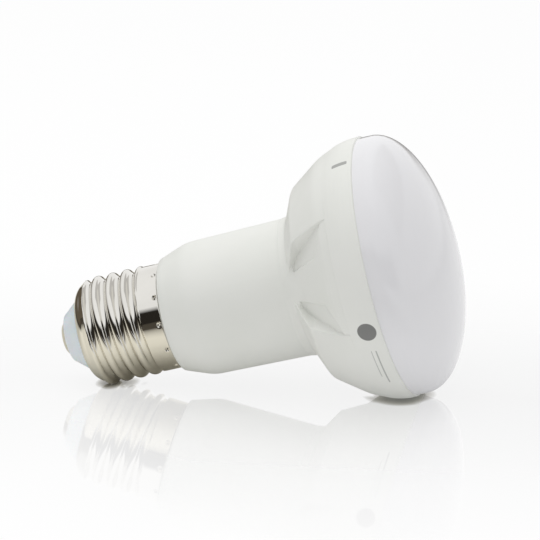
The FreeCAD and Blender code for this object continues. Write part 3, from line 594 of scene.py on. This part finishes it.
def print_mark(material, station, degrees, half_round, half_along, square, strength):
    """Share of ink of one mark, on its own side of the lamp."""
    angle = math.radians(degrees)
    middle = ring_point(BAND_RADIUS, station, angle)
    round_way = (ring_point(BAND_RADIUS, station, angle + 0.01) - middle).normalized()
    away = add(material, "ShaderNodeVectorMath", operation="SUBTRACT")
    give(material, object_place(material), away.inputs[0])
    give(material, middle, away.inputs[1])
    powers = []
    for way, half, power in ((round_way, half_round, square), (lamp_axis, half_along, square),
                             (round_way.cross(lamp_axis), PRINT_REACH, PRINT_SQUARE)):
        along = add(material, "ShaderNodeVectorMath", operation="DOT_PRODUCT")
        give(material, away.outputs["Vector"], along.inputs[0])
        give(material, way / (half * MM), along.inputs[1])
        size = calc(material, "ABSOLUTE", along.outputs["Value"])
        powers.append(calc(material, "POWER", size, power))
    return ramped(material, chain(material, "ADD", *powers), 1.06, 0.94, 0.0, strength)


def housing_plastic():
    material, shader = finish("housing_plastic", (0.775, 0.785, 0.745), (0.80, 0.805, 0.77), 60.0,
                              (0.42, 0.52), 300.0)
    shader.inputs["Specular IOR Level"].default_value = 0.4
    grain = add(material, "ShaderNodeBump", Strength=0.12, Distance=0.00004,
                Height=noise(material, 2600.0, 4.0))
    give(material, grain.outputs["Normal"], shader.inputs["Normal"])
    colour = shader.inputs["Base Color"].links[0].from_socket
    ink = chain(material, "MAXIMUM", *(print_mark(material, *mark) for mark in PRINT))
    give(material, blend(material, ink, colour, INK), shader.inputs["Base Color"])
    return material


def lens_plastic():
    return finish("lens_plastic", (0.775, 0.772, 0.79), (0.795, 0.792, 0.81), 30.0,
                  (0.09, 0.13), 120.0)[0]


def nickel():
    return finish("nickel", (0.755, 0.74, 0.70), (0.785, 0.77, 0.73), 120.0, (0.03, 0.055), 80.0, 1.0)[0]


def insulation():
    material, shader = finish("cap_insulation", (0.70, 0.755, 0.79), (0.73, 0.785, 0.82), 200.0,
                              (0.25, 0.35), 400.0)
    shader.inputs["Subsurface Weight"].default_value = 0.2
    shader.inputs["Subsurface Scale"].default_value = 0.002
    return material


# slot: two colours, noise scale, span of roughness, metallic
INNER_FINISHES = {
    "plate_aluminium": ((0.66, 0.66, 0.67), (0.74, 0.74, 0.75), 300.0, (0.25, 0.40), 1.0),
    "led_laminate": ((0.80, 0.80, 0.79), (0.85, 0.85, 0.84), 200.0, (0.35, 0.45), 0.0),
    "led_phosphor": ((0.85, 0.66, 0.15), (0.90, 0.72, 0.22), 900.0, (0.45, 0.60), 0.0),
    "screw_steel": ((0.58, 0.58, 0.58), (0.68, 0.68, 0.68), 500.0, (0.25, 0.40), 1.0),
    "driver_laminate": ((0.03, 0.13, 0.05), (0.05, 0.17, 0.07), 300.0, (0.35, 0.50), 0.0),
    "capacitor_sleeve": ((0.02, 0.02, 0.03), (0.04, 0.04, 0.06), 300.0, (0.25, 0.35), 0.0),
    "film_case": ((0.60, 0.38, 0.03), (0.68, 0.44, 0.05), 300.0, (0.30, 0.40), 0.0),
    "fuse_body": ((0.14, 0.25, 0.33), (0.18, 0.30, 0.38), 500.0, (0.45, 0.60), 0.0),
    "ferrite": ((0.03, 0.03, 0.03), (0.06, 0.06, 0.06), 800.0, (0.50, 0.70), 0.0),
    "winding_tape": ((0.72, 0.50, 0.05), (0.80, 0.58, 0.08), 300.0, (0.25, 0.35), 0.0),
    "chip_epoxy": ((0.01, 0.01, 0.01), (0.025, 0.025, 0.025), 900.0, (0.55, 0.70), 0.0),
    "lead_red": ((0.42, 0.02, 0.01), (0.50, 0.03, 0.02), 600.0, (0.40, 0.50), 0.0),
    "lead_white": ((0.74, 0.74, 0.72), (0.80, 0.80, 0.78), 600.0, (0.40, 0.50), 0.0),
}


def finish_inner_nodes(outer_nodes):
    """Gives every solid that stays as it is the finish of its slot."""
    slot_of = {row["node"]: row["material_slot"] for row in frame["record"]["subparts"]}
    made = {}
    for node, thing in frame["nodes"].items():
        if node in outer_nodes:
            continue
        slot = slot_of[node]
        if slot not in made:
            first, second, scale, rough, metallic = INNER_FINISHES[slot]
            made[slot] = finish(slot, first, second, scale, rough, scale * 2.0, metallic)[0]
        thing.data.materials.clear()
        thing.data.materials.append(made[slot])


# Pieces

def dress(piece, material, node):
    piece.data.materials.append(material)
    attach(piece, "root")
    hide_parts(node)


metal = nickel()
dress(make_housing(), housing_plastic(), "housing")
dress(make_lens(), lens_plastic(), "diffuser")
dress(make_shell(), metal, "screw_shell")
dress(make_insulator(), insulation(), "cap_insulator")
dress(make_contact(), metal, "centre_contact")
finish_inner_nodes({"housing", "diffuser", "screw_shell", "cap_insulator", "centre_contact"})


# Floor

FLOOR_REACH = 3.0
# painted contact shadow on the floor: ambient occlusion darkens the floor's own glow under the lamp and
# turns it warm
PAINTED_CONTACT_SHADOW_REACH = 0.002
PAINTED_CONTACT_SHADOW_TINT, PAINTED_CONTACT_SHADOW_POWER = (0.66, 0.58, 0.34), 1.5
# shares of the camera's floor that shine by themselves, darkened near the lamp by the painted contact
# shadow, and that take light
OWN_LIGHT, TAKEN_LIGHT = 0.91, 0.09
BOUNCE_ALBEDO, BOUNCE_LIGHT = 0.74, 0.19
MIRROR_UNDER_CAP, CAP_SIDE = 0.65, (-0.035, -0.005)
# spans in metres over which the floor that shiny things mirror changes between its painted shades
TABLE_FRONT, TABLE_RIGHT = (0.004, -0.016), (-0.01, 0.03)
FAR_FRONT, FAR_LEFT, FAR_BACK = (-0.035, -0.09), (-0.12, -0.24), (0.25, 0.45)
FAR_FRONT_RIGHT, FAR_BACK_RIGHT = (0.14, 0.04), (0.12, 0.03)
# painted shade in what shiny things mirror: a darker warm table behind the lamp, warm white before it,
# near black far away
TABLE_BEHIND_PAINTED_SHADE, TABLE_BEFORE, TABLE_FAR_PAINTED_DARK = (0.60, 0.575, 0.49), (0.90, 0.865, 0.76), (0.075, 0.065, 0.05)
# distance in front of or behind the lamp's middle, share of the mirror image
MIRROR_FADE = ((0.125, 0.06), (0.102, 0.11), (0.078, 0.17), (0.037, 0.33), (0.0, 0.42))


def lit_white(material, albedo, glow, colour=WHITE):
    """A white that takes light and shadow and gives a little light of its own."""
    base = add(material, "ShaderNodeBsdfDiffuse", Color=(albedo, albedo, albedo))
    own = add(material, "ShaderNodeEmission", Color=colour, Strength=glow)
    both = add(material, "ShaderNodeAddShader")
    give(material, base.outputs["BSDF"], both.inputs[0])
    give(material, own.outputs["Emission"], both.inputs[1])
    return both.outputs["Shader"]


def diffuse(material, colour):
    return add(material, "ShaderNodeBsdfDiffuse", Color=colour).outputs["BSDF"]


def seen_floor(material, x, y):
    """What the camera sees: white, with a painted warm contact shadow under the lamp from ambient
    occlusion, and a mirror image that fades.
    """
    # painted shadow: the floor's own glow darkens and turns warm where ambient occlusion finds the lamp
    # close
    near = add(material, "ShaderNodeAmbientOcclusion", Distance=PAINTED_CONTACT_SHADOW_REACH, samples=8).outputs["AO"]
    light = calc(material, "MULTIPLY", calc(material, "POWER", near, PAINTED_CONTACT_SHADOW_POWER), OWN_LIGHT)
    painted_shadow_tint = colour_ramp(material, near, ((0.0, PAINTED_CONTACT_SHADOW_TINT), (0.9, WHITE)))
    white = lit_white(material, TAKEN_LIGHT, light, painted_shadow_tint)
    far = MIRROR_FADE[0][0]
    steps = [(1.0 - place / far, (share, share, share)) for place, share in MIRROR_FADE]
    fade = colour_ramp(material, ramped(material, calc(material, "ABSOLUTE", y), far, 0.0), steps)
    share = calc(material, "MULTIPLY", fade, ramped(material, x, *CAP_SIDE, MIRROR_UNDER_CAP, 1.0))
    mirror = add(material, "ShaderNodeBsdfGlossy", Color=WHITE, Roughness=0.0)
    return mixed(material, share, white, mirror.outputs["BSDF"])


def mirrored_floor(material, x, y, bounce):
    """What shiny things mirror: a warm table under the cap, painted darker behind the lamp as its shade,
    as it is elsewhere, and painted dark further away.
    """
    table = mixed(material, ramped(material, y, *TABLE_FRONT), diffuse(material, TABLE_BEHIND_PAINTED_SHADE),
                  diffuse(material, TABLE_BEFORE))
    table = mixed(material, ramped(material, x, *TABLE_RIGHT), table, bounce)
    # painted darkness of the far floor, seen only in reflections
    front = calc(material, "MULTIPLY", ramped(material, y, *FAR_FRONT),
                 ramped(material, x, *FAR_FRONT_RIGHT))
    back = calc(material, "MULTIPLY", ramped(material, y, *FAR_BACK), ramped(material, x, *FAR_BACK_RIGHT))
    far_painted_dark = chain(material, "MAXIMUM", front, ramped(material, x, *FAR_LEFT), back)
    return mixed(material, far_painted_dark, table, diffuse(material, TABLE_FAR_PAINTED_DARK))


def floor_finish():
    """White glossy table top, with a painted contact shadow for the camera and painted shade in what shiny
    things mirror.
    """
    material, surface = bare_material("pale_floor")
    path = add(material, "ShaderNodeLightPath")
    split = add(material, "ShaderNodeSeparateXYZ", Vector=object_place(material))
    x, y = split.outputs["X"], split.outputs["Y"]
    bounce = lit_white(material, BOUNCE_ALBEDO, BOUNCE_LIGHT)
    unseen = mixed(material, path.outputs["Is Glossy Ray"], bounce, mirrored_floor(material, x, y, bounce))
    shown = mixed(material, path.outputs["Is Camera Ray"], unseen, seen_floor(material, x, y))
    give(material, shown, surface)
    return material


def make_floor():
    corners = [(x * FLOOR_REACH, y * FLOOR_REACH, 0.0) for x, y in ((-1, -1), (1, -1), (1, 1), (-1, 1))]
    floor = mesh_piece("floor", corners, [(0, 1, 2, 3)])
    floor.data.materials.append(floor_finish())


make_floor()


# Light

def grey(value):
    return (value, value, value)


# what lights the lamp from below and from above, and what the camera sees past the floor
SOFT_LOW, SOFT_HIGH, BACKDROP = grey(0.41), grey(0.96), grey(0.8)
# the mirrored studio, as spans of the direction's x, y and z
FRONT_Y = (0.0, -0.4)
OVERHEAD_Z, OVERHEAD_RISE = (0.20, 0.34), 0.16
SHEET_Y, SHEET_SIDE, SHEET_Z = (0.0, 0.05), (-0.48, -0.40), (0.03, 0.09)
RIGHT_X, RIGHT_Y = (0.05, 0.25), (-0.60, -0.35)
LEFT_X, LEFT_Z = (-0.35, -0.80), (0.72, 0.45)
GAP_X, GAP_Y, GAP_Z = (0.06, 0.12), (-0.05, 0.05), (0.42, 0.46)
DIMMED = 0.45
DARK_BEHIND, DARK_BEFORE = (0.13, 0.105, 0.075), (0.024, 0.021, 0.017)

SOFTBOX_PLACE, SOFTBOX_TARGET = (-0.1, 0.05, 0.75), (0.0, 0.0, 0.03)
SOFTBOX_WIDTH, SOFTBOX_DEPTH, SOFTBOX_WATTS = 0.7, 0.6, 2.0


def mirrored_studio(world, x, y, z):
    """What shiny things see: soft light overhead, white sheets behind and right, a dark room elsewhere."""
    front = ramped(world, y, *FRONT_Y)
    overhead = calc(world, "SUBTRACT", z, calc(world, "MULTIPLY", front, OVERHEAD_RISE))
    overhead = ramped(world, overhead, *OVERHEAD_Z)
    sideways = calc(world, "DIVIDE", x, y)
    behind = chain(world, "MULTIPLY", ramped(world, y, *SHEET_Y), ramped(world, sideways, *SHEET_SIDE),
                   ramped(world, z, *SHEET_Z))
    right = calc(world, "MULTIPLY", ramped(world, x, *RIGHT_X), ramped(world, y, *RIGHT_Y))
    left = calc(world, "MULTIPLY", ramped(world, x, *LEFT_X), ramped(world, z, *LEFT_Z))
    gap = chain(world, "MULTIPLY", ramped(world, x, *GAP_X), ramped(world, z, *GAP_Z),
                ramped(world, y, *GAP_Y))
    bright = chain(world, "MAXIMUM", overhead, behind, right)
    for shade in (left, gap):
        kept = calc(world, "SUBTRACT", 1.0, calc(world, "MULTIPLY", shade, DIMMED))
        bright = calc(world, "MULTIPLY", bright, kept)
    return blend(world, bright, blend(world, front, DARK_BEHIND, DARK_BEFORE), WHITE)


def make_world():
    world = bpy.data.worlds.new("studio")
    bpy.context.scene.world = world
    world.use_nodes = True
    world.node_tree.nodes.clear()
    output = add(world, "ShaderNodeOutputWorld")
    place = add(world, "ShaderNodeTexCoord").outputs["Generated"]
    split = add(world, "ShaderNodeSeparateXYZ", Vector=place)
    x, y, z = (split.outputs[name] for name in "XYZ")
    rise = colour_ramp(world, z, ((0.0, SOFT_LOW), (1.0, SOFT_HIGH)))
    soft, shine, white = (add(world, "ShaderNodeBackground", Color=colour).outputs["Background"]
                          for colour in (rise, mirrored_studio(world, x, y, z), BACKDROP))
    path = add(world, "ShaderNodeLightPath")
    unseen = mixed(world, path.outputs["Is Glossy Ray"], soft, shine)
    # the floor's mirror is the only singular one, and shows the same backdrop
    seen = chain(world, "MAXIMUM", *(path.outputs["Is %s Ray" % kind]
                                     for kind in ("Camera", "Transmission", "Singular")))
    give(world, mixed(world, seen, unseen, white), output.inputs["Surface"])


def make_softbox():
    light = bpy.data.lights.new("top_softbox", "AREA")
    light.shape = "RECTANGLE"
    light.size, light.size_y = SOFTBOX_WIDTH, SOFTBOX_DEPTH
    light.energy = SOFTBOX_WATTS
    softbox = bpy.data.objects.new("top_softbox", light)
    softbox.location = SOFTBOX_PLACE
    down = Vector(SOFTBOX_TARGET) - softbox.location
    softbox.rotation_euler = down.to_track_quat("-Z", "Y").to_euler()
    softbox.visible_glossy = False
    bpy.context.scene.collection.objects.link(softbox)


make_world()
make_softbox()


# Camera, as fitted to the photo

CAMERA_OFFSET = (0.1945, -0.8545, 0.2124)
CAMERA_VIEW = (-0.1641, 0.9619, -0.2182)
CAMERA_LENS = 248.7


def make_camera():
    data = bpy.data.cameras.new("camera")
    data.sensor_width = 36.0
    data.lens = CAMERA_LENS
    data.clip_start, data.clip_end = 0.01, 20.0
    camera = bpy.data.objects.new("camera", data)
    camera.location = lamp_start + Vector(CAMERA_OFFSET)
    camera.rotation_euler = Vector(CAMERA_VIEW).to_track_quat("-Z", "Y").to_euler()
    bpy.context.scene.collection.objects.link(camera)
    bpy.context.scene.camera = camera


make_camera()
bpy.context.scene.view_settings.view_transform = "Standard"
